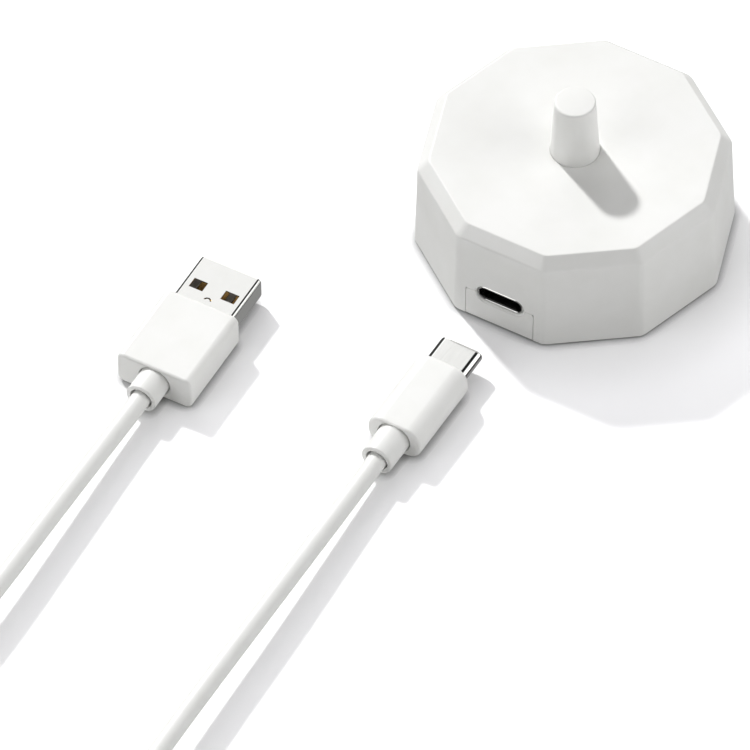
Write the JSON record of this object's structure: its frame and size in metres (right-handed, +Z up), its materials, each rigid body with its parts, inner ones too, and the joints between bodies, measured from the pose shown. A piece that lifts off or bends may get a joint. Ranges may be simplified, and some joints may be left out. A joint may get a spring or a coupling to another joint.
{
  "type": "electric toothbrush charging base",
  "caption": "Low ten-sided charging base with a round inductive post and a USB-C port, with a detached USB-A to USB-C charging cable beside it.",
  "frame": {"origin": "centre of the base's underside, at the level of the table; the free cable isn't counted", "axes": "+Z up along the charging post; the USB-C port faces -Y; +X completes a right-handed frame"},
  "size_m": [0.0806, 0.2435, 0.0329],
  "materials": {
    "housing": "fine satin moulded ABS",
    "gasket": "soft silicone",
    "ferrite": "matt sintered ferrite",
    "former": "natural nylon",
    "copper": "enamelled copper wire",
    "board": "solder-masked glass epoxy",
    "black_plastic": "moulded black plastic",
    "plated_steel": "nickel-plated stamped steel",
    "foot_rubber": "soft grey rubber",
    "plug_insulator": "moulded insulator",
    "contact_gold": "gold-plated spring contact",
    "plug_overmould": "satin moulded plastic",
    "cable_jacket": "smooth satin thermoplastic elastomer",
    "tie_strap": "woven hook-and-loop strap"
  },
  "bodies": {
    "root": {"top_housing": "housing", "bottom_cover": "housing", "charging_post": "housing", "post_gasket": "gasket", "ferrite_core": "ferrite", "coil_former": "former", "primary_coil": "copper", "coil_lead_1": "copper", "coil_lead_2": "copper", "circuit_board": "board", "driver_chip": "black_plastic", "power_transistor": "black_plastic", "electrolytic_capacitor": "black_plastic", "resonance_capacitor": "former", "power_inductor": "ferrite", "housing_screw_1": "plated_steel", "housing_screw_2": "plated_steel", "housing_screw_3": "plated_steel", "rubber_foot_1": "foot_rubber", "rubber_foot_2": "foot_rubber", "rubber_foot_3": "foot_rubber", "usb_c_socket_shell": "plated_steel", "usb_c_socket_tongue": "black_plastic", "usb_a_shell": "plated_steel", "usb_a_tongue": "plug_insulator", "usb_a_contact_1": "contact_gold", "usb_a_contact_2": "contact_gold", "usb_a_contact_3": "contact_gold", "usb_a_contact_4": "contact_gold", "usb_a_overmould": "plug_overmould", "usb_a_strain_relief": "cable_jacket", "usb_c_plug_shell": "plated_steel", "usb_c_plug_core": "black_plastic", "usb_c_overmould": "plug_overmould", "usb_c_strain_relief": "cable_jacket", "cable_run_a": "cable_jacket", "cable_run_c": "cable_jacket", "cable_coil": "cable_jacket", "cable_tie": "tie_strap"}
  },
  "joints": []
}
